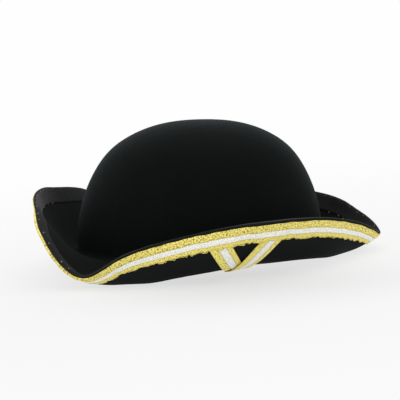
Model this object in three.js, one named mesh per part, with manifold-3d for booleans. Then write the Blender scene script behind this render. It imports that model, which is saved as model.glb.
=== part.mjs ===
// Tricorn hat of black felt with a striped lace along its turned-up brim.
// Millimetres, +Z up. The front point looks along -Y and the wearer's left is +X.
import * as THREE from 'three';
import { mergeVertices } from 'three/addons/utils/BufferGeometryUtils.js';
import Module from 'manifold-3d';

const manifold = await Module();
manifold.setup();

// Head opening and felt
const headLength = 200;
const headWidth = 167;
const feltThickness = 2.2;

// Crown, from the edge of the head opening to its top
const crownHeight = 105.7;
const crownLean = 3;
const crownHeightPower = 2.11;
const crownWidthPower = 2.62;

// Brim, measured along the felt from the round turn at the crown's foot
const footRadius = 5;
const brimWidth = 58;
const curlPower = 0.5;
const restFlattening = 0.8;

// Lace along the rim, on the brim's outer face
const laceWidth = 13.4;
const laceInset = 1.2;
const laceThickness = 1;
const sewingGap = 0.3;

// The same lace, folded to a V on the wearer's right flap
const chevronGap = 0.5;
const chevronDepth = 26.2;
const chevronSpread = 71;
const chevronLean = 7.6;
const chevronAngle = -68.3;
const firstRunStretch = 1.15;

// How finely the faces are cut
const turns = 84;
const crownRows = 11;
const footRows = 4;
const rootRows = 2;
const curlRows = 5;
const laceRows = 3;
const chevronRows = 10;
const chevronColumns = 4;

// Brim sections every 15 degrees from the front point to the middle of the back flap,
// the same on both sides. width is a share of brimWidth. rootSlope and rimSlope are
// the felt's slopes in degrees at the crown's foot and at the rim. foldShare is the
// share of the width that keeps the root's slope before the flap begins to curl.
const sectionStep = 15;
const brimSections = [
  { angle: 0, width: 0.84, rootSlope: -12.7, rimSlope: 42, foldShare: 0.2 },
  { angle: 15, width: 0.82, rootSlope: -6.6, rimSlope: 81, foldShare: 0.23 },
  { angle: 30, width: 0.89, rootSlope: 6.1, rimSlope: 94, foldShare: 0.29 },
  { angle: 45, width: 0.94, rootSlope: 11.5, rimSlope: 88, foldShare: 0.29 },
  { angle: 60, width: 1.02, rootSlope: 11.8, rimSlope: 83, foldShare: 0.34 },
  { angle: 75, width: 1.07, rootSlope: 1.5, rimSlope: 98, foldShare: 0.39 },
  { angle: 90, width: 1.09, rootSlope: -8, rimSlope: 105.5, foldShare: 0.44 },
  { angle: 105, width: 1.12, rootSlope: -22.8, rimSlope: 76, foldShare: 0.38 },
  { angle: 120, width: 1.07, rootSlope: -25.8, rimSlope: 26, foldShare: 0.33 },
  { angle: 135, width: 1.12, rootSlope: 11.7, rimSlope: 45, foldShare: 0.3 },
  { angle: 150, width: 0.99, rootSlope: 38.8, rimSlope: 55, foldShare: 0.09 },
  { angle: 165, width: 0.965, rootSlope: 40.5, rimSlope: 68, foldShare: 0 },
  { angle: 180, width: 0.99, rootSlope: 34.8, rimSlope: 79, foldShare: 0 },
];

const degrees = Math.PI / 180;
const fullTurn = 360;

// A column of the section table at any angle, as a smooth curve through its rows.
function sectionValue(column, angle) {
  const last = brimSections.length - 1;
  const place = Math.abs(angle - fullTurn * Math.round(angle / fullTurn)) / sectionStep;
  const start = Math.min(Math.floor(place), last - 1);
  const share = place - start;
  const row = (index) => brimSections[index < 0 ? -index : index > last ? 2 * last - index : index][column];
  const [before, from, to, after] = [row(start - 1), row(start), row(start + 1), row(start + 2)];
  return from + 0.5 * share * (to - before
    + share * (2 * before - 5 * from + 4 * to - after
    + share * (3 * from - before - 3 * to + after)));
}

// Radius of the felt's middle surface at the head opening, an oval.
function openingRadius(angle) {
  const halfLength = (headLength + feltThickness) / 2;
  const halfWidth = (headWidth + feltThickness) / 2;
  return 1 / Math.hypot(Math.cos(angle * degrees) / halfLength, Math.sin(angle * degrees) / halfWidth);
}

const brimLength = (angle) => brimWidth * sectionValue('width', angle);

// The crown's profile falls from the top, row 0, to its foot, row 1, as a rounded block.
function crownProfile(angle, row) {
  const sweep = (1 - row) * Math.PI / 2;
  const widthShare = Math.cos(sweep) ** (2 / crownWidthPower);
  const heightShare = Math.sin(sweep) ** (2 / crownHeightPower);
  return {
    radius: openingRadius(angle) * widthShare,
    height: (crownHeight - footRadius) * heightShare,
    lean: crownLean * heightShare ** 2,
  };
}

// The round turn at the crown's foot, from straight down, row 0, to the brim's slope, row 1.
function footProfile(angle, row) {
  const rootSlope = sectionValue('rootSlope', angle) * degrees;
  const slope = -Math.PI / 2 + row * (rootSlope + Math.PI / 2);
  return {
    radius: openingRadius(angle) + footRadius * (1 + Math.sin(slope)),
    height: -footRadius * Math.cos(slope),
    lean: 0,
  };
}

// The brim's profile, from its root, row 0, to the rim, row 1. Its slope keeps the
// root's value over the fold share and then turns up to the rim's.
function brimProfile(angle, row) {
  const rootSlope = sectionValue('rootSlope', angle);
  const rimSlope = sectionValue('rimSlope', angle);
  const foldShare = sectionValue('foldShare', angle);
  const steps = 40;
  const stride = row * brimLength(angle) / steps;
  const root = footProfile(angle, 1);
  let radius = root.radius;
  let height = root.height;
  for (let step = 0; step < steps; step += 1) {
    const share = row * (step + 0.5) / steps;
    const curl = Math.max(0, (share - foldShare) / (1 - foldShare)) ** curlPower;
    const slope = (rootSlope + (rimSlope - rootSlope) * curl) * degrees;
    radius += stride * Math.cos(slope);
    height += stride * Math.sin(slope);
  }
  return { radius, height, lean: 0 };
}

// A point of the felt's middle surface. place runs over the crown from 0 to 1, over the
// foot to 2 and over the brim to 3.
function middlePoint(angle, place) {
  const profile = place < 1 ? crownProfile(angle, place)
    : place < 2 ? footProfile(angle, place - 1) : brimProfile(angle, place - 2);
  return new THREE.Vector3(
    profile.radius * Math.sin(angle * degrees),
    -profile.radius * Math.cos(angle * degrees) - profile.lean,
    profile.height,
  );
}

// A point off the middle surface, along its normal: plus is the crown's outside and the
// brim's upper face, minus the head's side and the brim's under face.
function offsetPoint(angle, place, distance) {
  const middle = middlePoint(angle, place);
  const normal = new THREE.Vector3(0, 0, 1);
  if (place > 0) {
    const smallPlace = 0.004;
    const smallAngle = 1;
    const outward = middlePoint(angle, place + smallPlace).sub(middlePoint(angle, place - smallPlace));
    const around = middlePoint(angle + smallAngle, place).sub(middlePoint(angle - smallAngle, place));
    normal.crossVectors(outward, around).normalize();
  }
  return middle.addScaledVector(normal, distance);
}

// The hat's own lie: it pitches until the front point and the back corners both touch.
const frontAngle = 0;
const cornerAngle = 120;
const sideways = new THREE.Vector3(1, 0, 0);
function lowestPoint(nearAngle, pitch) {
  const reach = 30;
  const angleStep = 2;
  const placeStep = 0.05;
  let lowest = new THREE.Vector3(0, 0, Infinity);
  for (let angle = nearAngle - reach; angle <= nearAngle + reach; angle += angleStep) {
    for (let place = 2; place <= 3; place += placeStep) {
      const point = offsetPoint(angle, place, -feltThickness / 2).applyAxisAngle(sideways, pitch);
      if (point.z < lowest.z) lowest = point;
    }
  }
  return lowest;
}

let pitch = 0;
for (let pass = 0; pass < 3; pass += 1) {
  const front = lowestPoint(frontAngle, pitch);
  const corner = lowestPoint(cornerAngle, pitch);
  pitch -= Math.atan((corner.z - front.z) / (corner.y - front.y));
}
const groundHeight = lowestPoint(cornerAngle, pitch).z + restFlattening;
const settle = new THREE.Matrix4().makeTranslation(0, 0, -groundHeight)
  .multiply(new THREE.Matrix4().makeRotationX(pitch));
const restPoint = (angle, place, distance) => offsetPoint(angle, place, distance).applyMatrix4(settle);

// A closed shell from two grids of points, the outer one seen from outside. Each grid is a
// list of rows that run the same way. A ring's rows close on themselves, and a first row
// of one point closes the shell there. Each four-sided field is cut along its shorter
// diagonal, so that faces that lie over one another are cut alike.
function shellGeometry(outerGrid, innerGrid, isRing) {
  const points = [];
  const indices = [];
  const addGrid = (grid) => grid.map((row) => row.map((point) => points.push(point) - 1));
  const outer = addGrid(outerGrid);
  const inner = addGrid(innerGrid);
  const addField = (a, b, c, d) => {
    const cutsFromA = points[a].distanceTo(points[c]) < points[b].distanceTo(points[d]);
    indices.push(...(cutsFromA ? [a, b, c, a, c, d] : [a, b, d, b, c, d]));
  };
  const addStrip = (upper, lower) => {
    const fields = Math.max(upper.length, lower.length) - (isRing ? 0 : 1);
    for (let index = 0; index < fields; index += 1) {
      const next = (index + 1) % Math.max(upper.length, lower.length);
      if (upper.length === 1) indices.push(upper[0], lower[index], lower[next]);
      else if (lower.length === 1) indices.push(upper[index], lower[0], upper[next]);
      else addField(upper[index], lower[index], lower[next], upper[next]);
    }
  };
  const last = outer.length - 1;
  for (let row = 0; row < last; row += 1) {
    addStrip(outer[row], outer[row + 1]);
    addStrip(inner[row + 1], inner[row]);
  }
  addStrip(outer[last], inner[last]);
  if (outer[0].length > 1) addStrip(inner[0], outer[0]);
  if (!isRing) {
    addStrip(outer.map((row) => row[0]), inner.map((row) => row[0]));
    addStrip(inner.map((row) => row.at(-1)), outer.map((row) => row.at(-1)));
  }
  const geometry = new THREE.BufferGeometry().setFromPoints(points);
  return geometry.setIndex(indices);
}

const turnAngles = Array.from({ length: turns }, (_, index) => fullTurn * index / turns);

// The lace's rows, as distances in from the rim, outer edge first.
const laceLowerEdge = laceInset + laceWidth;
const laceDistances = Array.from(
  { length: laceRows + 1 },
  (_, row) => laceInset + laceWidth * row / laceRows,
);
const brimPlace = (angle, fromRim) => 3 - fromRim / brimLength(angle);

// Felt: crown and brim in one wall. A row runs where the flap begins to curl, and the outer
// rows follow the lace's, so that the lace keeps its gap. Where the felt rests, both faces
// are pressed flat.
function feltPlaces(angle) {
  const curlStart = 2 + Math.max(sectionValue('foldShare', angle), 1 / (rootRows + curlRows));
  const stops = [0, 1, 2, curlStart, brimPlace(angle, laceLowerEdge)];
  const places = [crownRows, footRows, rootRows, curlRows].flatMap((rows, stage) => {
    const length = stops[stage + 1] - stops[stage];
    return Array.from({ length: rows }, (_, row) => stops[stage] + length * (row + 1) / rows);
  });
  const laceRowPlaces = laceDistances.slice(0, -1).map((fromRim) => brimPlace(angle, fromRim));
  return [...places, ...laceRowPlaces.reverse(), 3];
}

function feltFace(distance, lowestHeight) {
  const columns = turnAngles.map((angle) => feltPlaces(angle).map((place) => {
    const point = restPoint(angle, place, distance);
    point.z = Math.max(point.z, lowestHeight);
    return point;
  }));
  const rows = columns[0].map((_, row) => columns.map((column) => column[row]));
  return [[restPoint(0, 0, distance)], ...rows];
}

const feltGeometry = () => shellGeometry(
  feltFace(feltThickness / 2, feltThickness),
  feltFace(-feltThickness / 2, 0),
  true,
);

// A point on the brim's outer face, a distance in from the rim along the felt and a
// height off that face.
function brimFacePoint(angle, fromRim, height) {
  return restPoint(angle, brimPlace(angle, fromRim), -feltThickness / 2 - height);
}

// Rim lace: a band all round, sewn just in from the rim.
function laceGeometry() {
  const face = (height) => laceDistances.map(
    (fromRim) => turnAngles.map((angle) => brimFacePoint(angle, fromRim, height)),
  );
  return shellGeometry(face(sewingGap + laceThickness), face(sewingGap), true);
}

// Chevron: the tape comes down from the rim lace, folds level and goes up again over
// its own first run. Both runs share the fold as their lower end, and the second one
// stands a tape's thickness higher where it laps over the first. The first run is pulled
// a little wider, and the whole V leans a little towards the front.
const halfSpread = chevronSpread / 2 * degrees;
const lapHeight = laceWidth / 2 / Math.sin(halfSpread);

function chevronRun(side, width, lapLift) {
  const tilt = halfSpread + side * chevronLean * degrees;
  const levelWidth = width / Math.cos(tilt);
  const mouth = brimFacePoint(chevronAngle, laceLowerEdge, 0);
  const reach = Math.hypot(mouth.x, mouth.y);
  const face = (thickness, lift) => Array.from({ length: chevronRows + 1 }, (_, row) => {
    const fromFold = chevronDepth * (1 - row / chevronRows);
    const fromRim = laceLowerEdge + chevronGap + chevronDepth - fromFold;
    const height = sewingGap + thickness + lift * THREE.MathUtils.clamp(2 - fromFold / lapHeight, 0, 1);
    return Array.from({ length: chevronColumns + 1 }, (_, column) => {
      const across = side * fromFold * Math.tan(tilt) + levelWidth * (column / chevronColumns - 0.5);
      return brimFacePoint(chevronAngle + across / reach / degrees, fromRim, height);
    });
  });
  return shellGeometry(face(laceThickness, lapLift), face(0, 0), false);
}

function solidFrom(geometry) {
  const merged = mergeVertices(geometry);
  return new manifold.Manifold(new manifold.Mesh({
    numProp: 3,
    vertProperties: merged.attributes.position.array,
    triVerts: new Uint32Array(merged.index.array),
  }));
}

function chevronGeometry() {
  const firstRun = solidFrom(chevronRun(-1, laceWidth * firstRunStretch, 0));
  const secondRun = solidFrom(chevronRun(1, laceWidth, laceThickness));
  const mesh = firstRun.add(secondRun).getMesh();
  const geometry = new THREE.BufferGeometry();
  geometry.setAttribute('position', new THREE.BufferAttribute(new Float32Array(mesh.vertProperties), 3));
  geometry.setIndex(new THREE.BufferAttribute(new Uint32Array(mesh.triVerts), 1));
  return geometry;
}

function namedMesh(name, geometry, finish) {
  geometry.computeVertexNormals();
  const mesh = new THREE.Mesh(geometry, new THREE.MeshStandardMaterial(finish));
  mesh.name = name;
  return mesh;
}

const feltFinish = { color: 0x121315, roughness: 0.95, metalness: 0 };
const laceFinish = { color: 0xd9b93c, roughness: 0.5, metalness: 0.35 };

const hat = new THREE.Group();
hat.add(namedMesh('felt_body', feltGeometry(), feltFinish));
hat.add(namedMesh('rim_lace', laceGeometry(), laceFinish));
hat.add(namedMesh('flap_chevron', chevronGeometry(), laceFinish));

// The origin lies under the middle of the hat, on the surface that it rests on.
const box = new THREE.Box3().setFromObject(hat);
hat.position.set(-(box.min.x + box.max.x) / 2, -(box.min.y + box.max.y) / 2, 0);
hat.updateMatrixWorld(true);

export default hat;
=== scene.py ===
import math

import bpy
import numpy as np
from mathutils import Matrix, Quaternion, Vector


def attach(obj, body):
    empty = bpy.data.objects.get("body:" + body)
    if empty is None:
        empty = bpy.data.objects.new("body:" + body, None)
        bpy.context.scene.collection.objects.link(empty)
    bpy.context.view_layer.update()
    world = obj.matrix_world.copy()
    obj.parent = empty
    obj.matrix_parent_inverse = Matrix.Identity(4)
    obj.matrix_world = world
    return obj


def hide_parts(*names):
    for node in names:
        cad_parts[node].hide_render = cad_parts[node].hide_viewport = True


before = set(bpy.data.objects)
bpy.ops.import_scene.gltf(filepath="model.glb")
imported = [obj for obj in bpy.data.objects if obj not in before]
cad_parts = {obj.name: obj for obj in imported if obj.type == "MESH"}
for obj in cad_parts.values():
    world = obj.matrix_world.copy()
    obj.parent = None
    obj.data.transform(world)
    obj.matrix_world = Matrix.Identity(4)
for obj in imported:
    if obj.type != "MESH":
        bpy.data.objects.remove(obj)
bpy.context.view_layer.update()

# The hat is one cap of black wool felt, blocked wet over a form. Its round crown turns over
# the edge of the head opening into a brim, which is steamed up into three flaps that meet
# at corners, one in front and two behind. The cut rim is pressed and has no binding.
felt_thickness = 0.0022
opening_half_length = (0.200 + felt_thickness) / 2
opening_half_width = (0.167 + felt_thickness) / 2
crown_height = 0.1057
crown_lean = 0.003
crown_height_power = 2.11
crown_width_power = 2.62
foot_radius = 0.005
brim_width = 0.058
curl_power = 0.5

# Every 15 degrees from the front point to the middle of the back flap, the same on both
# sides: share of the brim's width, slope at the crown's foot, slope at the rim, and the
# share of the width that stays straight before the flap curls up.
brim_table = np.array([
    (0.84, -12.7, 42, 0.20),
    (0.82, -6.6, 81, 0.23),
    (0.89, 6.1, 94, 0.29),
    (0.94, 11.5, 88, 0.29),
    (1.02, 11.8, 83, 0.34),
    (1.07, 1.5, 98, 0.39),
    (1.09, -8, 105.5, 0.44),
    (1.12, -22.8, 76, 0.38),
    (1.07, -25.8, 26, 0.33),
    (1.12, 11.7, 45, 0.30),
    (0.99, 38.8, 55, 0.09),
    (0.965, 40.5, 68, 0),
    (0.99, 34.8, 79, 0),
])
table_step = 15


def from_front(angle):
    """An angle as its turn from the front point, minus towards the wearer's right."""
    return angle - 360 * np.round(angle / 360)


def brim_values(angle):
    """The brim table's four values at any angle, on a smooth curve through its rows."""
    last = len(brim_table) - 1
    place = np.abs(from_front(angle)) / table_step
    start = np.minimum(np.floor(place), last - 1).astype(int)
    share = (place - start)[..., None]
    before, first, second, after = (
        brim_table[last - np.abs(last - np.abs(start + offset))] for offset in (-1, 0, 1, 2)
    )
    cubic = 3 * first - before - 3 * second + after
    square = 2 * before - 5 * first + 4 * second - after
    values = first + 0.5 * share * (second - before + share * (square + share * cubic))
    return np.moveaxis(values, -1, 0)


def felt_middle(angle, place):
    """The felt's middle surface, by angle and place.

    place is 0 to 1 down the crown, 1 to 2 round its foot and 2 to 3 out to the rim.
    """
    width, root_slope, rim_slope, straight = brim_values(angle)
    root_slope = np.radians(root_slope)
    turn = np.radians(angle)
    sweep = (1 - np.clip(place, 0, 1)) * np.pi / 2
    rise = np.sin(sweep) ** (2 / crown_height_power)
    opening = 1 / np.hypot(np.cos(turn) / opening_half_length, np.sin(turn) / opening_half_width)
    slope = -np.pi / 2 + np.clip(place - 1, 0, 1) * (root_slope + np.pi / 2)
    radius = opening * np.cos(sweep) ** (2 / crown_width_power) + foot_radius * (1 + np.sin(slope))
    height = (crown_height - foot_radius) * rise - foot_radius * np.cos(slope)
    row = np.maximum(place - 2, 0)
    steps = 40
    stride = row * brim_width * width / steps
    for step in range(steps):
        share = row * (step + 0.5) / steps
        curl = np.maximum((share - straight) / (1 - straight), 0) ** curl_power
        slope = root_slope + (np.radians(rim_slope) - root_slope) * curl
        radius = radius + stride * np.cos(slope)
        height = height + stride * np.sin(slope)
    forward = -radius * np.cos(turn) - crown_lean * rise**2
    return np.stack([radius * np.sin(turn), forward, height], -1)


# The hat lies on the front point and the two back corners.
rest_pitch = math.radians(3.0165)
rest_height = 0.0136134
rest_shift = 0.0085941


def felt_point(angle, place, off):
    """A point off the felt's middle: plus is the crown's outside and the flaps' inner face."""
    angle, place, off = np.broadcast_arrays(*(np.asarray(value, float) for value in (angle, place, off)))
    small_place, small_angle = 0.004, 1
    outward = felt_middle(angle, place + small_place)
    outward = outward - felt_middle(angle, np.maximum(place - small_place, 0))
    around = felt_middle(angle + small_angle, place) - felt_middle(angle - small_angle, place)
    normal = np.cross(outward, around)
    normal /= np.linalg.norm(normal, axis=-1, keepdims=True)
    x, y, z = np.moveaxis(felt_middle(angle, place) + normal * off[..., None], -1, 0)
    cosine, sine = math.cos(rest_pitch), math.sin(rest_pitch)
    floor_height = off + felt_thickness / 2
    return np.stack([
        x,
        y * cosine - z * sine + rest_shift,
        np.maximum(y * sine + z * cosine + rest_height, floor_height),
    ], -1)


def brim_place(angle, from_rim):
    """The place of a point a distance in from the rim, along the felt."""
    return 3 - from_rim / (brim_width * brim_values(angle)[0])


# Along the rim the flaps' inner face has a band as wide as the lace, drawn in by the lace's
# stitches, with a shallow groove where they run.
hem_width = 0.0146
hem_swell = 0.0005
hem_step = 0.0006
hem_taper = 0.003
hem_groove = 0.0003
hem_groove_width = 0.0010
hem_groove_inset = 0.0004
rim_round = 0.0006
rim_squareness = 0.6

# At the back corners the rim leans inwards and is cut in, and along the wearer's right flap
# it is left wider. The crown is fuller than its plain curve, at its top and its shoulders.
corner_start = 108
corner_start_fade = 15
corner_end_fade = 16
corner_trim = 0.0010
corner_lean = 0.0019
lean_depth = 0.018
lean_end = 174
right_flap_rise = 0.0012
right_flap_back = -112
right_flap_back_fade = 16
right_flap_front = -4
right_flap_front_fade = 14
crown_fullness = 0.00095
shoulder_place = 0.46
shoulder_spread = 0.14
top_share = 0.62
top_spread = 0.17


def eased(share):
    """A share of 0 to 1 that starts and ends gently."""
    share = np.clip(share, 0, 1)
    return share**2 * (3 - 2 * share)


def by_back_corner(angle, far_end):
    """1 round a back corner, where the rim turns upward, falling to 0 on the flaps beside it."""
    away = np.abs(from_front(angle))
    return eased(np.minimum(
        (away - corner_start) / corner_start_fade, (far_end - away) / corner_end_fade
    ))


def rim_lean(angle, from_rim):
    """How far the felt and the tape lean inwards along the rim, round the back corners."""
    return corner_lean * by_back_corner(angle, lean_end) * eased(1 - from_rim / lean_depth)


def rim_trim(angle):
    """How much the felt is cut in at the back corners, less what the right flap is wider."""
    turn = from_front(angle)
    on_right_flap = eased(np.minimum(
        (turn - right_flap_back) / right_flap_back_fade,
        (right_flap_front - turn) / right_flap_front_fade,
    ))
    return corner_trim * by_back_corner(angle, lean_end) - right_flap_rise * on_right_flap


def crown_fill(place):
    """How much fuller the blocked crown is than its plain curve."""
    shoulder = np.exp(-(((place - shoulder_place) / shoulder_spread) ** 2))
    top = np.exp(-((place / top_spread) ** 2))
    return crown_fullness * (shoulder + top_share * top)


# The cap's rows of points stand closest together over the groove. Columns of the table:
# distance in from the rim at the first row and at the last, and the number of rows.
felt_columns = 288
crown_rows = 56
foot_rows = 8
flap_rows = 32
cut_rows = 9
band_start = 0.0204
band_rows = [
    (0.0200, 0.0168, 4),
    (0.0162, 0.0130, 9),
    (0.0121, rim_round, 12),
]


def felt_profile(angle):
    """One section of the cap: down the crown, out to the rim, round its cut edge and back inside."""
    crown = np.arange(1, crown_rows + 1) / crown_rows
    foot = 1 + np.arange(1, foot_rows + 1) / foot_rows
    near_rim = np.concatenate([np.linspace(*rows) for rows in band_rows])
    cut = rim_trim(angle)
    flap = np.linspace(2, brim_place(angle, band_start + cut), flap_rows + 1)[1:]
    face = np.concatenate([crown, foot, flap, brim_place(angle, near_rim + cut)])
    from_rim = (3 - face) * brim_width * brim_values(angle)[0] - cut
    from_rim[: crown_rows + foot_rows] = 1
    swell = hem_swell * np.clip((hem_width - from_rim) / hem_step, 0, 1)
    swell = swell * np.clip(from_rim / hem_taper, 0, 1)
    from_groove = from_rim - hem_width - hem_groove_inset
    groove = hem_groove * np.exp(-((from_groove / hem_groove_width) ** 2))
    upper = felt_thickness / 2 + swell - groove
    under = np.full(len(face), -felt_thickness / 2)
    edge_turn = np.linspace(0, np.pi, cut_rows + 2)[1:-1]
    edge_side = np.cos(edge_turn)
    edge_off = felt_thickness / 2 * np.sign(edge_side) * np.abs(edge_side) ** rim_squareness
    edge_rim = rim_round * (1 - np.sin(edge_turn))
    place = np.concatenate([face, brim_place(angle, edge_rim + cut), face[::-1]])
    off = np.concatenate([upper, edge_off, under[::-1]])
    distance = np.concatenate([from_rim, edge_rim, from_rim[::-1]])
    lean = rim_lean(angle, distance) * (place > 2)
    return place, off + lean, distance, lean


def ring_mesh(name, rings, first_tip, last_tip):
    """A mesh of closed rings of points, each seen from its outside, with a point at either end."""
    rows, columns = rings.shape[:2]
    points = [*rings.reshape(-1, 3).tolist(), first_tip.tolist(), last_tip.tolist()]
    row, column = np.meshgrid(np.arange(rows - 1), np.arange(columns), indexing="ij")
    beside = (column + 1) % columns
    corners = [
        row * columns + column,
        (row + 1) * columns + column,
        (row + 1) * columns + beside,
        row * columns + beside,
    ]
    faces = np.stack(corners, -1).reshape(-1, 4).tolist()
    around = [(index, (index + 1) % columns) for index in range(columns)]
    last_ring = (rows - 1) * columns
    faces += [(len(points) - 2, here, after) for here, after in around]
    faces += [(len(points) - 1, last_ring + after, last_ring + here) for here, after in around]
    mesh = bpy.data.meshes.new(name)
    mesh.from_pydata(points, [], faces)
    mesh.shade_smooth()
    return mesh


felt_angles = np.arange(felt_columns) * 360 / felt_columns
sections = [felt_profile(angle) for angle in felt_angles]
felt_places, felt_offs, felt_from_rim, felt_leans = (np.stack(values, 1) for values in zip(*sections))
filled_offs = felt_offs + crown_fill(felt_places)
felt_rings = felt_point(np.broadcast_to(felt_angles, felt_places.shape), felt_places, filled_offs)
felt_offs = felt_offs - felt_leans
tip_place = 0.0005
crown_tip = felt_point(0, tip_place, felt_thickness / 2 + crown_fill(0))
hollow_tip = felt_point(0, tip_place, -felt_thickness / 2 + crown_fill(0))
crown_tip[:2] = felt_rings[0].mean(0)[:2]
hollow_tip[:2] = felt_rings[-1].mean(0)[:2]
cap_mesh = ring_mesh("felt_cap", felt_rings, crown_tip, hollow_tip)


def point_values(mesh, name, values):
    """Stores one number for each point of a mesh, for its finish to read."""
    padded = np.zeros(len(mesh.vertices))
    padded[: len(values)] = values
    mesh.attributes.new(name, "FLOAT", "POINT").data.foreach_set("value", padded)


# The pressed band is palest at the back, where a painted sheen lightens it, and the cut edge is
# palest on the front half of the wearer's right flap. The nap stands up on the higher part of the crown.
hem_overlap = 0.0002
hem_fade = 0.0008
hem_upper_fade = 0.0009
band_share = 0.20
sheen_share = 0.78
sheen_angle = 193
sheen_spread = 15
sheen_fill = 0.02
sheen_fill_start = 0.4
edge_limit = -0.0010
edge_base_share = 0.35
paler_edge_angle = 275
paler_edge_fade = 35
nap_start = 0.030
nap_fade = 0.030
on_upper = felt_offs > 0
band_and_sheen = np.clip((hem_width + hem_overlap - felt_from_rim) / hem_fade, 0, 1) * on_upper
band_and_sheen = band_and_sheen * np.clip((felt_from_rim - hem_overlap) / hem_upper_fade, 0, 1)
# Painted sheen: round the back the pressed band is made lighter.
painted_sheen = np.exp(-(((felt_angles - sheen_angle) / sheen_spread) ** 2))
# Painted sheen: down the crown's outside and over the flaps' inner face the felt is a little lighter.
painted_sheen_fill = sheen_fill * np.clip((felt_places - sheen_fill_start) / (1 - sheen_fill_start), 0, 1) * on_upper
band_and_sheen = np.maximum(band_and_sheen * (band_share + sheen_share * painted_sheen), painted_sheen_fill)
on_edge = np.clip(1 - felt_from_rim / (2 * rim_round), 0, 1) ** 0.5 * (felt_offs > edge_limit)
paler_edge = np.clip((felt_angles - paler_edge_angle) / paler_edge_fade, 0, 1)
on_edge = on_edge * (edge_base_share + (1 - edge_base_share) * paler_edge)
on_outside = np.clip(felt_places - 2, 0, 1) * (felt_offs < 0)
has_nap = np.clip((felt_rings[..., 2] - nap_start) / nap_fade, 0, 1) * (felt_places < 1)
point_values(cap_mesh, "pressed_band_and_sheen", band_and_sheen.ravel())
point_values(cap_mesh, "cut_edge", on_edge.ravel())
point_values(cap_mesh, "outer_face", on_outside.ravel())
point_values(cap_mesh, "raised_nap", has_nap.ravel())
cap = bpy.data.objects.new("felt_cap", cap_mesh)
bpy.context.scene.collection.objects.link(cap)


class Strand:
    """A socket of a node tree that takes part in sums, each of which adds a Math node."""

    def __init__(self, tree, socket):
        self.tree = tree
        self.socket = socket

    def math(self, operation, *values):
        return self.node("ShaderNodeMath", {"operation": operation}, dict(enumerate((self, *values))))

    def node(self, kind, settings=None, inputs=None, output=0):
        """Adds any node: its settings first, then its sockets' values or links. Gives one output."""
        added = self.tree.nodes.new(kind)
        for name, value in (settings or {}).items():
            setattr(added, name, value)
        for name, value in (inputs or {}).items():
            if isinstance(value, Strand):
                self.tree.links.new(value.socket, added.inputs[name])
            else:
                added.inputs[name].default_value = value
        return Strand(self.tree, added.outputs[output])

    def __add__(self, other):
        return self.math("ADD", other)

    def __sub__(self, other):
        return self.math("SUBTRACT", other)

    def __rsub__(self, other):
        return self.node("ShaderNodeMath", {"operation": "SUBTRACT"}, {0: other, 1: self})

    def __mul__(self, other):
        return self.math("MULTIPLY", other)

    def __truediv__(self, other):
        return self.math("DIVIDE", other)

    def __pow__(self, other):
        return self.math("POWER", other)

    def __abs__(self):
        return self.math("ABSOLUTE")

    __radd__ = __add__
    __rmul__ = __mul__


def new_finish(name, settings):
    """A material whose shader has these fixed values. Gives it, a strand of its tree and the shader."""
    finish = bpy.data.materials.new(name)
    finish.use_nodes = True
    shader = finish.node_tree.nodes["Principled BSDF"]
    for socket, value in settings.items():
        shader.inputs[socket].default_value = value
    return finish, Strand(finish.node_tree, None), shader


def mixed(tree, share, first, second):
    """A colour between two others."""
    return tree.node(
        "ShaderNodeMix", {"data_type": "RGBA"}, {0: share, 6: first, 7: second}, output=2
    )


def feed(tree, shader, **strands):
    """Links strands to the shader's sockets, whose names are given with _ for a space."""
    for name, strand in strands.items():
        tree.tree.links.new(strand.socket, shader.inputs[name.replace("_", " ")])


def noise(tree, place, scale, detail=2):
    """Soft random shades from 0 to 1 over a surface."""
    inputs = {"Vector": place, "Scale": scale, "Detail": detail}
    return tree.node("ShaderNodeTexNoise", {}, inputs, "Fac")


def painted(tree, name):
    """A value stored on the points of the mesh, by name."""
    return tree.node("ShaderNodeAttribute", {"attribute_name": name}, output="Fac")


# The nap's raised hairs catch more light than the felt that is pressed flat.
wool_look = {
    "Roughness": 0.95,
    "Specular IOR Level": 0.06,
    "Sheen Roughness": 0.35,
    "Sheen Tint": (0.78, 0.94, 1.0, 1),
}
flat_sheen = 0.008
napped_sheen = 0.054
felt_finish, tree, flat_felt = new_finish("black_felt", {**wool_look, "Sheen Weight": flat_sheen})
napped_felt = tree.node("ShaderNodeBsdfPrincipled", {}, {**wool_look, "Sheen Weight": napped_sheen})
place = tree.node("ShaderNodeTexCoord", output="Object")
nap = noise(tree, place, 1400, 3)
clumps = noise(tree, place, 260)
cloud = noise(tree, place, 28)
pressed_band_and_sheen = painted(tree, "pressed_band_and_sheen")
cut = painted(tree, "cut_edge")
outside = painted(tree, "outer_face")
raised_nap = painted(tree, "raised_nap")
dark_wool = (0.0014, 0.0021, 0.0020, 1)
grey_wool = (0.0042, 0.0054, 0.0052, 1)
lighter_outer_wool = (0.0118, 0.0134, 0.0128, 1)
pressed_wool_and_sheen = (0.096, 0.095, 0.094, 1)
cut_wool = (0.060, 0.060, 0.058, 1)
wool = mixed(tree, (cloud * 0.6 + nap * 0.7 - 0.3).math("MAXIMUM", 0), dark_wool, grey_wool)
# The flaps' outer face is coloured lighter than the crown.
wool = mixed(tree, outside, wool, lighter_outer_wool)
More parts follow.
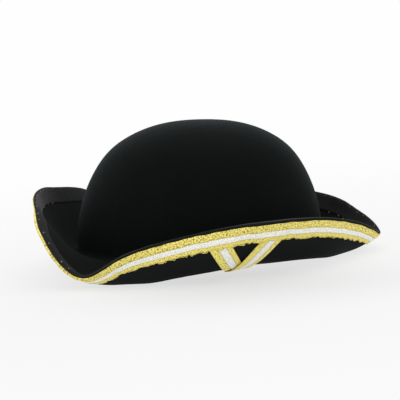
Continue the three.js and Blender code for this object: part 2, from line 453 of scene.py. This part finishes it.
# The pressed band's lighter wool, carrying the painted sheen at the back and the painted sheen fill.
wool = mixed(tree, pressed_band_and_sheen * (0.55 + clumps * 0.6), wool, pressed_wool_and_sheen)
wool = mixed(tree, cut * (0.3 + clumps * 0.8), wool, cut_wool)
pile = tree.node("ShaderNodeBump", {}, {
    "Strength": 0.5, "Distance": 0.0003, "Height": nap + clumps * 0.8,
})
dents = tree.node("ShaderNodeBump", {}, {
    "Strength": 0.25, "Distance": 0.003, "Height": cloud, "Normal": pile,
})
feed(tree, flat_felt, Base_Color=wool, Normal=dents)
feed(tree, napped_felt.socket.node, Base_Color=wool, Normal=dents)
felt_surface = tree.node("ShaderNodeMixShader", {}, {
    0: raised_nap, 1: Strand(tree.tree, flat_felt.outputs[0]), 2: napped_felt,
})
tree.tree.links.new(felt_surface.socket, tree.tree.nodes["Material Output"].inputs["Surface"])
cap_mesh.materials.append(felt_finish)

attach(cap, "root")
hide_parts("felt_body")

# The lace that trims the hat is a woven metallic tape, 13.4 mm wide, gold along both edges
# and silver-white in the middle. One length is sewn on the outside of the brim, just in from
# the rim, and its lower edge has a row of small picots.
tape_width = 0.0134
tape_thickness = 0.0009
tape_inset = 0.0012
tape_height = 0.0005
tape_lower_edge = tape_inset + tape_width
gold_share = 0.34
stripe_ends = [0, gold_share, 1 - gold_share, 1]
tape_rows = np.array([
    0, 0.008, 0.025, 0.055, 0.10, 0.16, 0.22, 0.28, 0.31, 0.325, 0.34, 0.355, 0.375, 0.42, 0.47,
    0.53, 0.58, 0.625, 0.645, 0.66, 0.675, 0.69, 0.72, 0.78, 0.84, 0.90, 0.945, 0.975, 0.992, 1,
])

# The same tape is folded to a V under the rim's, in the middle of the wearer's right flap.
# Its first run is pulled a little wider, and the rim's tape rides up over both of its ends.
vee_angle = -68.3
vee_gap = 0.0005
vee_depth = 0.0262
vee_half_spread = math.radians(71 / 2)
vee_lean = math.radians(7.6)
first_run_stretch = 1.15
vee_widths = {-1: tape_width * first_run_stretch, 1: tape_width}
vee_tuck = 0.0047
ride_up = tape_thickness * 1.05
ride_fade = 0.004
ride_start = tape_lower_edge - 0.0095
ride_slope = 0.0045


def outer_face(angle, from_rim, height):
    """A point on the flaps' outer face, a distance in from the rim and a height off the felt."""
    off = rim_lean(angle, from_rim) - felt_thickness / 2 - height
    return felt_point(angle, brim_place(angle, from_rim), off)


mouth = outer_face(vee_angle, tape_lower_edge, 0)
vee_reach = math.hypot(mouth[0], mouth[1] - rest_shift)


def vee_lift(angle, from_rim):
    """How much the rim's tape rides up over the two ends of the V that are tucked under it."""
    across = np.radians(from_front(angle - vee_angle)) * vee_reach
    over = 0
    for side in (-1, 1):
        tilt = vee_half_spread + side * vee_lean
        centre = side * vee_depth * math.tan(tilt)
        beside = np.abs(across - centre) - vee_widths[side] / 2 / math.cos(tilt)
        over = over + np.clip(1 - beside / ride_fade, 0, 1)
    return ride_up * eased(over) * eased((from_rim - ride_start) / ride_slope)


def tape_sheet(name, grid, is_ring, **values):
    """The tape's middle surface, grid[row along][row across], with values stored on its points."""
    rows, columns = grid.shape[:2]
    strips = rows if is_ring else rows - 1
    row, column = np.meshgrid(np.arange(strips), np.arange(columns - 1), indexing="ij")
    here = row * columns + column
    beyond = ((row + 1) % rows) * columns + column
    faces = np.stack([here, here + 1, beyond + 1, beyond], -1).reshape(-1, 4)
    mesh = bpy.data.meshes.new(name)
    mesh.from_pydata(grid.reshape(-1, 3).tolist(), [], faces.tolist())
    for kind, value in {"across": tape_rows, **values}.items():
        point_values(mesh, kind, np.broadcast_to(value, (rows, columns)).ravel())
    return mesh


# On the rim the tape wanders a little, puckers between its stitches and has an uneven lower
# edge. At the back corners its upper part is fuller.
rim_columns = 1008
rim_angles = np.arange(rim_columns) * 360 / rim_columns
rim_turn = np.radians(rim_angles)
wander = np.sin(23 * rim_turn + 1) + np.sin(41 * rim_turn + 2.2) + 0.7 * np.sin(67 * rim_turn)
wander = 0.000108 * wander
pucker = 0.00012 * (np.sin(73 * rim_turn) + np.sin(97 * rim_turn + 1.7))
upper_gold = 0.385
lower_gold = 0.31
drawn_width = 0.92
tooth_columns = 3
tooth_in = -0.0008
tooth_out = 0.0006
rim_slack = 0.0001
corner_fullness = 0.0018
fullness_end = 156
fullness_share = 0.6
rim_edge_shade = 0.1
# Painted light: the lower gold of the rim's tape is made lighter, as it faces down and gets less light.
rim_polish = 0.16
polish_start = 0.6
polish_fade = 0.1
rim_rows = np.interp(tape_rows, stripe_ends, [0, upper_gold, 1 - lower_gold, drawn_width])
teeth = np.random.default_rng(7).uniform(tooth_in, tooth_out, rim_columns // tooth_columns)
teeth = teeth.repeat(tooth_columns)
rim_from = tape_inset + tape_width * rim_rows + wander[:, None]
rim_from = rim_from + teeth[:, None] * tape_rows**12
rim_height = tape_height + rim_slack + pucker[:, None] * np.sin(np.pi * tape_rows)
rim_height = rim_height + vee_lift(rim_angles[:, None], rim_from)
at_corner = by_back_corner(rim_angles, fullness_end)[:, None]
rim_fullness = corner_fullness * at_corner * np.clip(1 - tape_rows / fullness_share, 0, 1)
rim_height = rim_height + rim_fullness / 2
rim_grid = outer_face(np.broadcast_to(rim_angles[:, None], rim_from.shape), rim_from, rim_height)
rim_steps = np.linalg.norm(np.diff(rim_grid[:, len(tape_rows) // 2], axis=0), axis=1)
rim_sheet = tape_sheet(
    "rim_lace_sheet", rim_grid, True,
    along=np.concatenate([[0], np.cumsum(rim_steps)])[:, None],
    edge_shade=rim_edge_shade,
    polish=rim_polish * np.clip((tape_rows - polish_start) / polish_fade, 0, 1),
    fullness=rim_fullness,
)

# The gold stripes are ribbed aslant and the white one straight across, and single threads
# glint.
gold_rib = 0.00115
gold_slant = 750
white_rib = 0.0009
glint_length = 0.00062
glints_across = 22
lace_finish, tree, shader = new_finish("metallic_lace", {"Specular IOR Level": 0.5})
across = painted(tree, "across")
along = painted(tree, "along")
wobble = noise(tree, tree.node("ShaderNodeCombineXYZ", {}, {0: along * 420, 1: across * 9}), 1.0)
specks = noise(tree, tree.node("ShaderNodeCombineXYZ", {}, {0: along * 820, 1: across * 12}), 1.0)
from_middle = abs(across - 0.5 + (wobble - 0.5) * 0.03)
in_white = ((0.5 - gold_share - from_middle) / 0.012 + 0.5).math("MAXIMUM", 0).math("MINIMUM", 1)
gold_side = abs(from_middle - gold_share) * tape_width
rib_phase = along / gold_rib + gold_side * gold_slant
rib = (rib_phase * (2 * math.pi)).math("SINE") * 0.5 + 0.5
cord_rib = (along / white_rib * (2 * math.pi)).math("SINE") * 0.5 + 0.5
weave = rib * (1 - in_white) + cord_rib * in_white
cells = tree.node("ShaderNodeCombineXYZ", {}, {
    0: (along / glint_length + across * 3).math("FLOOR"),
    1: (across * glints_across + (wobble - 0.5) * 2).math("FLOOR"),
})
glint = tree.node("ShaderNodeTexWhiteNoise", {"noise_dimensions": "2D"}, {"Vector": cells}, "Value")
deep_gold = (0.30, 0.19, 0.012, 1)
light_gold = (1.0, 0.88, 0.23, 1)
grey_silver = (0.70, 0.68, 0.50, 1)
light_silver = (1.0, 1.0, 0.96, 1)
border_olive = (0.33, 0.27, 0.05, 1)
edge_shadow_brown = (0.22, 0.14, 0.015, 1)
# The tape's colour is raised by its painted light, where it faces down.
shine = weave * 0.25 + glint * 0.5 + specks * 3.6 + painted(tree, "polish") - 1.46
shine = shine.math("MAXIMUM", 0).math("MINIMUM", 1)
gold = mixed(tree, shine, deep_gold, light_gold)
silver = mixed(tree, shine, grey_silver, light_silver)
lace_colour = mixed(tree, in_white, gold, silver)
border = (1 - abs(from_middle - 0.5 + gold_share) / 0.035).math("MAXIMUM", 0)
lace_colour = mixed(tree, border * 0.6, lace_colour, border_olive)
# Painted shadow: the tape's edges are darkened brown, strongly on the V, where one run lies over the
# other, and faintly on the rim's tape.
edge_shadow = ((abs(across - 0.5) - 0.470) / 0.03).math("MAXIMUM", 0)
lace_colour = mixed(tree, edge_shadow * painted(tree, "edge_shade"), lace_colour, edge_shadow_brown)
thread_height = weave * 0.7 + glint * 0.5
relief = tree.node("ShaderNodeBump", {}, {"Strength": 0.6, "Distance": 0.0003, "Height": thread_height})
feed(
    tree, shader,
    Base_Color=lace_colour,
    Metallic=0.6 - in_white * 0.35,
    Roughness=0.55 - glint * 0.25,
    Normal=relief,
)

picot_spacing = 0.0024
picot_reach = 0.0008
picot_thread = 0.0003


def input_sockets(tree, sockets):
    """Adds named inputs to a geometry tree and gives a strand for each."""
    tree.interface.new_socket("Geometry", in_out="INPUT", socket_type="NodeSocketGeometry")
    tree.interface.new_socket("Geometry", in_out="OUTPUT", socket_type="NodeSocketGeometry")
    for name, kind in sockets.items():
        tree.interface.new_socket(name, in_out="INPUT", socket_type="NodeSocket" + kind)
    group = tree.nodes.new("NodeGroupInput")
    return {socket.name: Strand(tree, socket) for socket in group.outputs if socket.name}


def named(tree, name, kind="FLOAT"):
    """A stored value of the points, by name."""
    return tree.node("GeometryNodeInputNamedAttribute", {"data_type": kind}, {"Name": name})


def stored(tree, geometry, name, value, kind="FLOAT"):
    """The geometry with a value stored on its points."""
    return tree.node(
        "GeometryNodeStoreNamedAttribute",
        {"data_type": kind, "domain": "POINT"},
        {"Geometry": geometry, "Name": name, "Value": value},
    )


def scaled(tree, direction, length):
    """A direction made as long as this."""
    return tree.node("ShaderNodeVectorMath", {"operation": "SCALE"}, {0: direction, "Scale": length})


tape_tree = bpy.data.node_groups.new("woven_tape", "GeometryNodeTree")
inputs = input_sockets(tape_tree, {
    "Thickness": "Float", "Gold share": "Float", "Picot spacing": "Float", "Picot reach": "Float",
    "Picot thread": "Float", "Has picots": "Bool", "Material": "Material",
})
sheet = inputs["Geometry"]
across = named(sheet, "across")
face_normal = sheet.node("GeometryNodeInputNormal")
from_middle = abs(across * 2 - 1)
edge = (1 - from_middle**14) ** 0.5
seam = 1 - abs(abs(across - 0.5) - (0.5 - inputs["Gold share"])) / 0.03
thickness = inputs["Thickness"] * (1 - seam.math("MAXIMUM", 0) * 0.45) + named(sheet, "fullness")
half = thickness / 2 * edge
raised = scaled(sheet, face_normal, half)
lowered = scaled(sheet, face_normal, 0 - half)
front = sheet.node("GeometryNodeSetPosition", {}, {"Geometry": sheet, "Offset": raised})
back = sheet.node("GeometryNodeFlipFaces", {}, {
    "Mesh": sheet.node("GeometryNodeSetPosition", {}, {"Geometry": sheet, "Offset": lowered}),
})
join = tape_tree.nodes.new("GeometryNodeJoinGeometry")
for part in (back, front):
    tape_tree.links.new(part.socket, join.inputs[0])
tape = sheet.node("GeometryNodeMergeByDistance", {}, {
    "Geometry": Strand(tape_tree, join.outputs[0]),
    "Distance": 0.000004,
})
tape = sheet.node("GeometryNodeSetShadeSmooth", {}, {"Geometry": tape})
ground = stored(sheet, sheet, "face_normal", face_normal, "FLOAT_VECTOR")
lower_edge = sheet.node("FunctionNodeCompare", {"operation": "GREATER_THAN"}, {0: across, 1: 0.999})
edge_curve = sheet.node("GeometryNodeMeshToCurve", {}, {"Mesh": ground, "Selection": lower_edge})
spots = sheet.node("GeometryNodeCurveToPoints", {"mode": "LENGTH"}, {
    "Curve": edge_curve, "Length": inputs["Picot spacing"],
})
tangent = Strand(tape_tree, spots.socket.node.outputs["Tangent"])
turned = sheet.node("FunctionNodeAlignRotationToVector", {"axis": "X"}, {"Vector": tangent})
turned = sheet.node("FunctionNodeAlignRotationToVector", {"axis": "Z", "pivot_axis": "X"}, {
    "Rotation": turned, "Vector": named(sheet, "face_normal", "FLOAT_VECTOR"),
})
loop = sheet.node("GeometryNodeTransform", {}, {
    "Geometry": sheet.node("GeometryNodeCurvePrimitiveCircle", {"mode": "RADIUS"}, {
        "Resolution": 10, "Radius": 0.5,
    }),
    "Scale": sheet.node("ShaderNodeCombineXYZ", {}, {
        0: inputs["Picot spacing"] * 0.95, 1: inputs["Picot reach"] * 2, 2: 1.0,
    }),
})
thread = sheet.node("GeometryNodeCurvePrimitiveCircle", {"mode": "RADIUS"}, {
    "Resolution": 6, "Radius": inputs["Picot thread"],
})
picot = sheet.node("GeometryNodeCurveToMesh", {}, {"Curve": loop, "Profile Curve": thread})
picots = sheet.node("GeometryNodeInstanceOnPoints", {}, {
    "Points": spots,
    "Instance": picot,
    "Rotation": turned,
    "Scale": sheet.node("FunctionNodeRandomValue", {"data_type": "FLOAT_VECTOR"}, {
        0: (0.7, 0.25, 0.9), 1: (1.1, 1.2, 1.1), "Seed": 5,
    }),
})
picots = sheet.node("GeometryNodeRealizeInstances", {}, {"Geometry": picots})
picots = stored(sheet, picots, "across", 0.99)
picots = sheet.node("GeometryNodeSetShadeSmooth", {}, {"Geometry": picots})
picots = sheet.node("GeometryNodeSwitch", {"input_type": "GEOMETRY"}, {
    "Switch": inputs["Has picots"], "True": picots,
})
join = tape_tree.nodes.new("GeometryNodeJoinGeometry")
for part in (picots, tape):
    tape_tree.links.new(part.socket, join.inputs[0])
whole = Strand(tape_tree, join.outputs[0])
whole = sheet.node("GeometryNodeRealizeInstances", {}, {"Geometry": whole})
whole = sheet.node("GeometryNodeSetMaterial", {}, {"Geometry": whole, "Material": inputs["Material"]})
tape_tree.links.new(whole.socket, tape_tree.nodes.new("NodeGroupOutput").inputs[0])


def grown(name, mesh, tree, values):
    """The plain mesh object that a geometry tree makes from a mesh with these inputs."""
    mesh.materials.append(values["Material"])
    seed = bpy.data.objects.new(name + "_seed", mesh)
    bpy.context.scene.collection.objects.link(seed)
    modifier = seed.modifiers.new(tree.name, "NODES")
    modifier.node_group = tree
    for item in tree.interface.items_tree:
        if item.in_out == "INPUT" and item.name in values:
            modifier[item.identifier] = values[item.name]
    bpy.context.view_layer.update()
    ready = seed.evaluated_get(bpy.context.evaluated_depsgraph_get())
    piece = bpy.data.objects.new(name, bpy.data.meshes.new_from_object(ready))
    bpy.data.objects.remove(seed)
    bpy.context.scene.collection.objects.link(piece)
    return piece


tape_values = {
    "Thickness": tape_thickness, "Gold share": gold_share, "Picot spacing": picot_spacing,
    "Picot reach": picot_reach, "Picot thread": picot_thread, "Has picots": True,
    "Material": lace_finish,
}
rim_lace = grown("rim_tape", rim_sheet, tape_tree, tape_values)
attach(rim_lace, "root")
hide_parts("rim_lace")

# The V is one more length of the tape. It comes out from under the rim's tape, folds level
# and goes up again over its own first run, and both ends are tucked under the rim's tape.
vee_slack = 0.00012
vee_height = tape_height + vee_slack
stack = tape_thickness * 1.6
vee_upper_gold = 0.37
vee_lower_gold = 0.26
vee_edge_shade = 0.75
# Painted light: the whole V is made lighter, as it faces down and gets less light.
vee_polish = 0.26
run_steps = np.concatenate([np.linspace(vee_depth + vee_tuck, 0.0006, 44), [0.0003, 0.0]])
lap = tape_width / 2 / math.sin(vee_half_spread)
bend = np.linspace(0, np.pi, 9)[1:-1]
lift = np.clip(2 - run_steps[::-1] / lap, 0, 1)
path_down = np.concatenate([run_steps, -stack / 2 * np.sin(bend), run_steps[::-1]])
path_up = vee_height + stack * np.concatenate([0 * run_steps, (1 - np.cos(bend)) / 2, lift])
path_side = np.concatenate([0 * run_steps - 1, -np.cos(bend), 0 * run_steps + 1])
path_tilt = vee_half_spread + path_side * vee_lean
middle = path_side * np.maximum(path_down, 0) * np.tan(path_tilt)
path_width = np.interp(path_side, [-1, 1], [vee_widths[-1], vee_widths[1]])
vee_rows = np.interp(tape_rows, stripe_ends, [0, vee_upper_gold, 1 - vee_lower_gold, 1])
vee_across = middle[:, None] + (path_width / np.cos(path_tilt))[:, None] * (vee_rows - 0.5)
vee_angles = vee_angle + np.degrees(vee_across / vee_reach)
path_from = tape_lower_edge + vee_gap + vee_depth - path_down
vee_from = np.broadcast_to(path_from[:, None], vee_angles.shape)
vee_grid = outer_face(vee_angles, vee_from, np.broadcast_to(path_up[:, None], vee_angles.shape))
path_steps = np.hypot(np.diff(path_down), np.diff(path_up)) / np.cos(path_tilt[1:])
vee_along = np.concatenate([[0], np.cumsum(path_steps)])[:, None]
vee_slant = path_side[:, None] * tape_rows * tape_width * np.tan(path_tilt)[:, None]
vee_sheet = tape_sheet(
    "vee_sheet", vee_grid, False,
    along=vee_along - vee_slant,
    edge_shade=vee_edge_shade,
    polish=vee_polish,
    fullness=0,
)
vee = grown("flap_vee", vee_sheet, tape_tree, {**tape_values, "Has picots": False})
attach(vee, "root")
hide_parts("flap_chevron")

# Pale thread holds the lace. Its stitches come through to the inside of the flaps as short
# specks along the band's groove, and as smaller ones close to the rim.
thread_width = 0.0008
stitch_spacing = 0.0145
stitch_drift = 0.0045
thread_grey = (0.22, 0.20, 0.15, 1)
thread_white = (0.62, 0.60, 0.52, 1)
thread_finish, tree, shader = new_finish("pale_thread", {"Roughness": 0.8, "Specular IOR Level": 0.3})
fibres = noise(tree, tree.node("ShaderNodeTexCoord", output="Object"), 3000, 1)
feed(tree, shader, Base_Color=mixed(tree, fibres, thread_grey, thread_white))

stitch_tree = bpy.data.node_groups.new("hand_stitches", "GeometryNodeTree")
inputs = input_sockets(stitch_tree, {
    "Spacing": "Float", "Length": "Float", "Thread": "Float", "Seed": "Int", "Material": "Material",
})
line = inputs["Geometry"]
spots = line.node("GeometryNodeCurveToPoints", {"mode": "LENGTH"}, {
    "Curve": line.node("GeometryNodeMeshToCurve", {}, {"Mesh": line}),
    "Length": inputs["Spacing"],
})
tangent = Strand(stitch_tree, spots.socket.node.outputs["Tangent"])
drift = line.node("FunctionNodeRandomValue", {"data_type": "FLOAT"}, {
    2: -stitch_drift, 3: stitch_drift, "Seed": inputs["Seed"],
}, 1)
moved = line.node("GeometryNodeSetPosition", {}, {
    "Geometry": spots, "Offset": scaled(line, tangent, drift),
})
bead = line.node("GeometryNodeMeshUVSphere", {}, {"Segments": 8, "Rings": 6, "Radius": 0.5})
bead = line.node("GeometryNodeTransform", {}, {
    "Geometry": bead,
    "Scale": line.node("ShaderNodeCombineXYZ", {}, {
        0: inputs["Length"], 1: inputs["Thread"], 2: inputs["Thread"],
    }),
})
stitches = line.node("GeometryNodeInstanceOnPoints", {}, {
    "Points": moved,
    "Instance": bead,
    "Rotation": line.node("FunctionNodeAlignRotationToVector", {"axis": "X"}, {"Vector": tangent}),
    "Scale": line.node("FunctionNodeRandomValue", {"data_type": "FLOAT_VECTOR"}, {
        0: (0.45, 0.8, 0.8), 1: (1.3, 1.2, 1.2), "Seed": inputs["Seed"],
    }),
})
stitches = line.node("GeometryNodeSetShadeSmooth", {}, {
    "Geometry": line.node("GeometryNodeRealizeInstances", {}, {"Geometry": stitches}),
})
stitches = line.node("GeometryNodeSetMaterial", {}, {
    "Geometry": stitches, "Material": inputs["Material"],
})
stitch_tree.links.new(stitches.socket, stitch_tree.nodes.new("NodeGroupOutput").inputs[0])


def stitch_row(name, from_rim, off, length, seed):
    """A row of stitches on the inner face of the flaps, a distance in from the rim."""
    height = felt_thickness / 2 + off + rim_lean(felt_angles, from_rim)
    points = felt_point(felt_angles, brim_place(felt_angles, from_rim), height)
    steps = [(index, (index + 1) % len(points)) for index in range(len(points))]
    mesh = bpy.data.meshes.new(name + "_line")
    mesh.from_pydata(points.tolist(), steps, [])
    row = grown(name, mesh, stitch_tree, {
        "Spacing": stitch_spacing, "Length": length, "Thread": thread_width, "Seed": seed,
        "Material": thread_finish,
    })
    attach(row, "root")


stitch_row("inner_stitches", from_rim=hem_width, off=-0.0001, length=0.0020, seed=3)
stitch_row("rim_stitches", from_rim=0.0015, off=0.00005, length=0.0011, seed=8)

# The hat lies on a plain white floor in soft studio light: a bright room all round, with
# one large soft box overhead. A wide, faint painted shadow dims the floor at the hat's right side.
floor_reach = 60
floor_drop = 0.0001
floor_sides = [(-1, -1), (1, -1), (1, 1), (-1, 1)]
floor_corners = [(x * floor_reach, y * floor_reach, -floor_drop) for x, y in floor_sides]
floor_mesh = bpy.data.meshes.new("floor")
floor_mesh.from_pydata(floor_corners, [], [(0, 1, 2, 3)])
floor = bpy.data.objects.new("floor", floor_mesh)
bpy.context.scene.collection.objects.link(floor)
floor_finish, tree, shader = new_finish("white_floor", {
    "Roughness": 0.9,
    "Specular IOR Level": 0.0,
    "Emission Strength": 1.0,
})


def vector_math(tree, operation, *values, output="Vector"):
    """Sums on places and directions."""
    return tree.node("ShaderNodeVectorMath", {"operation": operation}, dict(enumerate(values)), output)


glow_start = 0.25
glow_reach = 0.60
shade_centre = (-0.14, -0.045, 0)
shade_spread = (0.08, 0.105, 1)
near_paper = (0.12, 0.12, 0.12, 1)
near_glow = (0.768, 0.768, 0.768, 1)
shaded_glow = (0.618, 0.618, 0.614, 1)
room_white = (0.991, 0.991, 0.991, 1)
nothing = (0, 0, 0, 1)
place = tree.node("ShaderNodeTexCoord", output="Object")
distance = vector_math(tree, "LENGTH", place, output="Value")
glow = ((distance - glow_start) / glow_reach).math("MAXIMUM", 0).math("MINIMUM", 1)
# Painted shadow: the floor's glow is dimmed in a wide patch beside the hat.
from_shade = vector_math(tree, "SUBTRACT", place, shade_centre)
across_shade = vector_math(tree, "DIVIDE", from_shade, shade_spread)
shade = (0 - vector_math(tree, "LENGTH", across_shade, output="Value") ** 2).math("EXPONENT")
feed(
    tree, shader,
    Base_Color=mixed(tree, glow, near_paper, nothing),
    Emission_Color=mixed(tree, glow, mixed(tree, shade, near_glow, shaded_glow), room_white),
)
floor_mesh.materials.append(floor_finish)

world = bpy.data.worlds.new("studio")
bpy.context.scene.world = world
world.use_nodes = True
room = world.node_tree.nodes["Background"]
room.inputs["Color"].default_value = room_white
room.inputs["Strength"].default_value = 1.0

softbox_side = 1.6
softbox_data = bpy.data.lights.new("softbox", "AREA")
softbox_data.shape = "RECTANGLE"
softbox_data.size = softbox_side
softbox_data.size_y = softbox_side
softbox_data.energy = 14
softbox = bpy.data.objects.new("softbox", softbox_data)
softbox.location = (0.45, 0.1, 1.45)
bpy.context.scene.collection.objects.link(softbox)

# The camera looks at the wearer's right side, a little from the front, and its height and
# lens follow from the hat's outline in the photograph.
camera_data = bpy.data.cameras.new("camera")
camera_data.sensor_width = 36
camera_data.lens = 140.07
camera = bpy.data.objects.new("camera", camera_data)
camera_place = Vector((-1.2697, -0.18756, 0.19159))
camera_target = Vector((0.0, 0.00561, 0.04918))
camera_roll = math.radians(-4.516)
look = (camera_target - camera_place).to_track_quat("-Z", "Y")
camera.rotation_mode = "QUATERNION"
camera.rotation_quaternion = look @ Quaternion((0, 0, 1), camera_roll)
camera.location = camera_place
bpy.context.scene.collection.objects.link(camera)
bpy.context.scene.camera = camera
bpy.context.scene.view_settings.view_transform = "Standard"
